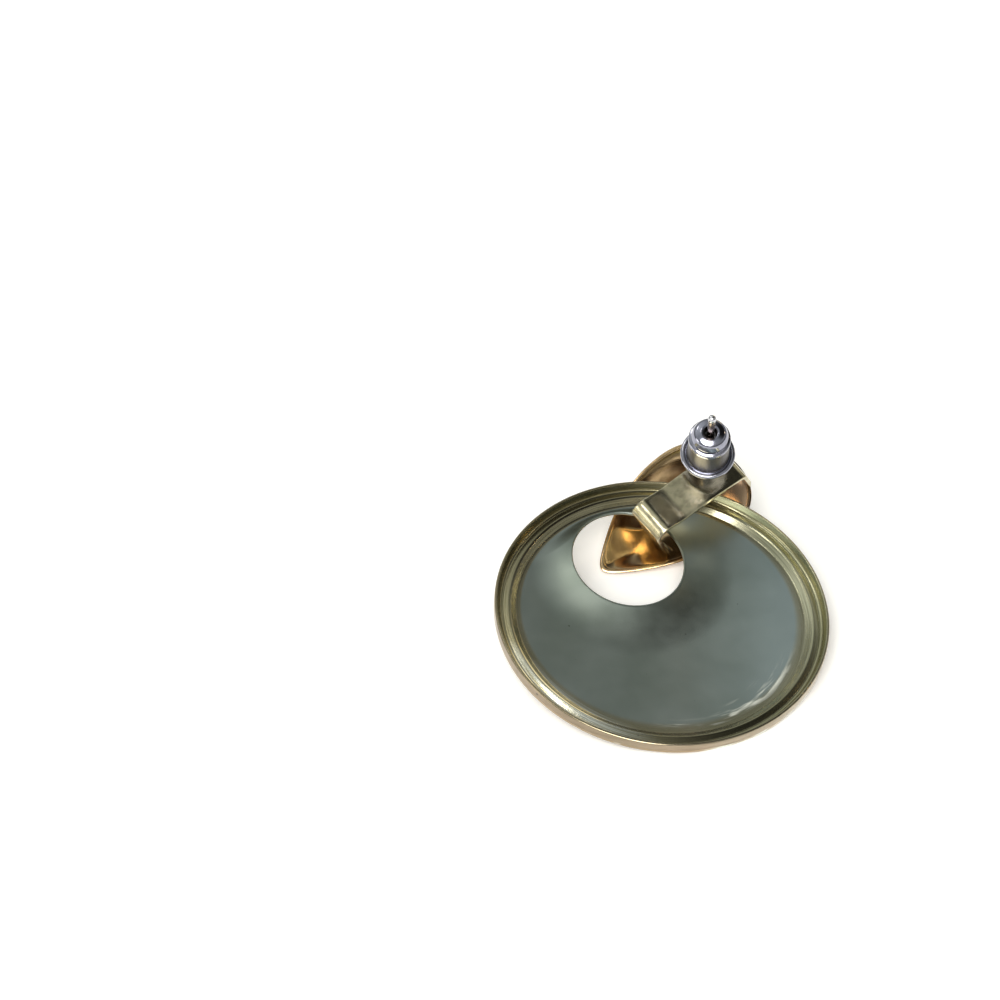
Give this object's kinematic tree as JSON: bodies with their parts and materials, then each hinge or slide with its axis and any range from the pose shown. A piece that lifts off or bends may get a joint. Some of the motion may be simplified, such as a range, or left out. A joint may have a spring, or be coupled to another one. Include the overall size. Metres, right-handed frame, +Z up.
{
  "type": "doorknocker earring",
  "caption": "Doorknocker earring, lying face down: a stamped round disc with an off-centre hole swings in a strap loop over a hollow leaf cap, with an ear post and clutch.",
  "frame": {"origin": "on the surface that the earring lies on, under the middle of its box", "axes": "+Z up from that surface, the way the back of the earring faces; +X to the right and +Y away from the viewer, with the post's end leaning towards -Y"},
  "size_m": [0.036, 0.041, 0.0219],
  "materials": {
    "stamped_brass": "satin, dull olive on the back, bright on the front",
    "gold_plated_brass": "bright gold plate",
    "clutch_steel": "polished, slightly blue"
  },
  "bodies": {
    "ear_piece": {"ear_piece": "gold_plated_brass"},
    "knocker": {"knocker_disc": "stamped_brass"},
    "clutch": {"ear_nut": "clutch_steel"}
  },
  "joints": [
    {"name": "knocker_swing", "type": "hinge", "parent": "ear_piece", "child": "knocker", "pos_m": [0.00021, 0.00892, 0.0053], "axis": [0.6453, -0.6844, -0.3394], "range_deg": [0, 20]},
    {"name": "clutch_slide", "type": "slide", "parent": "ear_piece", "child": "clutch", "axis": [-0.0291, -0.466, 0.8843], "range_m": [0, 0.0105]}
  ]
}
